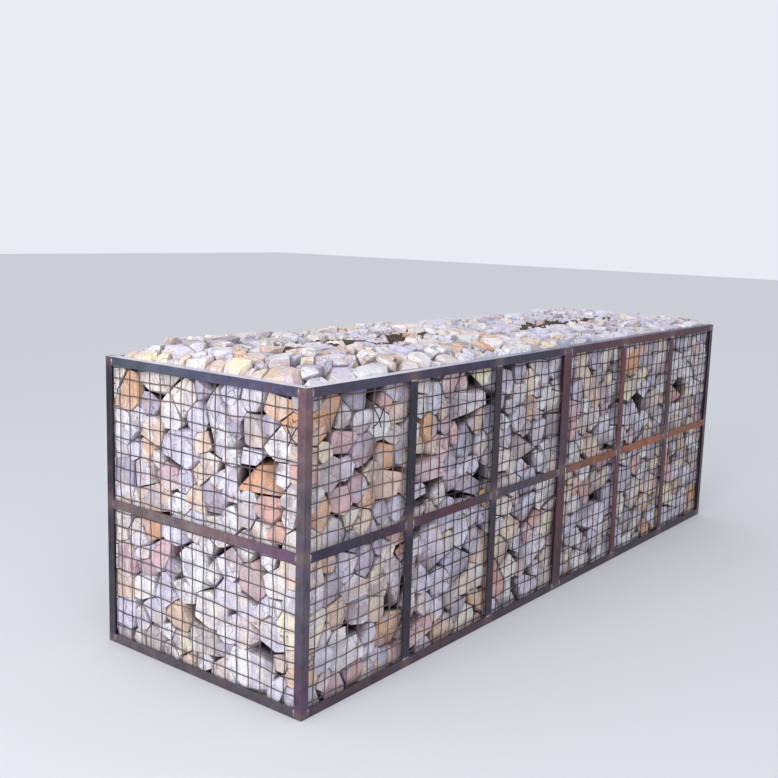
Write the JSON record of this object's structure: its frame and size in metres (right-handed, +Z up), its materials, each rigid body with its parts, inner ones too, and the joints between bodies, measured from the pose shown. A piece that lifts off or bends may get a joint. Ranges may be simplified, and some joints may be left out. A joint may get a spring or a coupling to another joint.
{
  "type": "gabion wall",
  "caption": "Free-standing gabion wall: welded angle-steel box frames with welded mesh sides, filled with quarry stone and topped with a bed of soil.",
  "frame": {"origin": "middle of the footprint, on the ground", "axes": "+X along the wall, from the near frame to the far frame; -Y is the front; +Z is up"},
  "size_m": [3, 0.89, 1.035],
  "materials": {
    "frame_steel": "raw hot-rolled steel, dark mill scale with brown rust and purple heat tint",
    "mesh_wire": "raw drawn wire, dark and slightly rusty",
    "stone": "broken quarry stone, cream, grey and ochre",
    "soil": "loose dark soil, matte"
  },
  "bodies": {
    "root": {"back_uprights": "frame_steel", "far_back_bottom_rail": "frame_steel", "far_back_corner_post": "frame_steel", "far_back_mesh_lower": "mesh_wire", "far_back_mesh_upper": "mesh_wire", "far_back_mid_rails": "frame_steel", "far_back_seam_post": "frame_steel", "far_back_top_rail": "frame_steel", "far_end_bottom_rail": "frame_steel", "far_end_mesh": "mesh_wire", "far_end_mid_rail": "frame_steel", "far_end_top_rail": "frame_steel", "far_front_bottom_rail": "frame_steel", "far_front_corner_post": "frame_steel", "far_front_mesh_lower": "mesh_wire", "far_front_mesh_upper": "mesh_wire", "far_front_mid_rails": "frame_steel", "far_front_seam_post": "frame_steel", "far_front_top_rail": "frame_steel", "far_seam_bottom_rail": "frame_steel", "far_seam_top_rail": "frame_steel", "far_stone_fill": "stone", "front_uprights": "frame_steel", "near_back_bottom_rail": "frame_steel", "near_back_corner_post": "frame_steel", "near_back_mesh_lower": "mesh_wire", "near_back_mesh_upper": "mesh_wire", "near_back_mid_rails": "frame_steel", "near_back_seam_post": "frame_steel", "near_back_top_rail": "frame_steel", "near_end_bottom_rail": "frame_steel", "near_end_mesh": "mesh_wire", "near_end_mid_rail": "frame_steel", "near_end_top_rail": "frame_steel", "near_front_bottom_rail": "frame_steel", "near_front_corner_post": "frame_steel", "near_front_mesh_lower": "mesh_wire", "near_front_mesh_upper": "mesh_wire", "near_front_mid_rails": "frame_steel", "near_front_seam_post": "frame_steel", "near_front_top_rail": "frame_steel", "near_seam_bottom_rail": "frame_steel", "near_seam_top_rail": "frame_steel", "near_stone_fill": "stone", "soil_beds": "soil"}
  },
  "joints": []
}
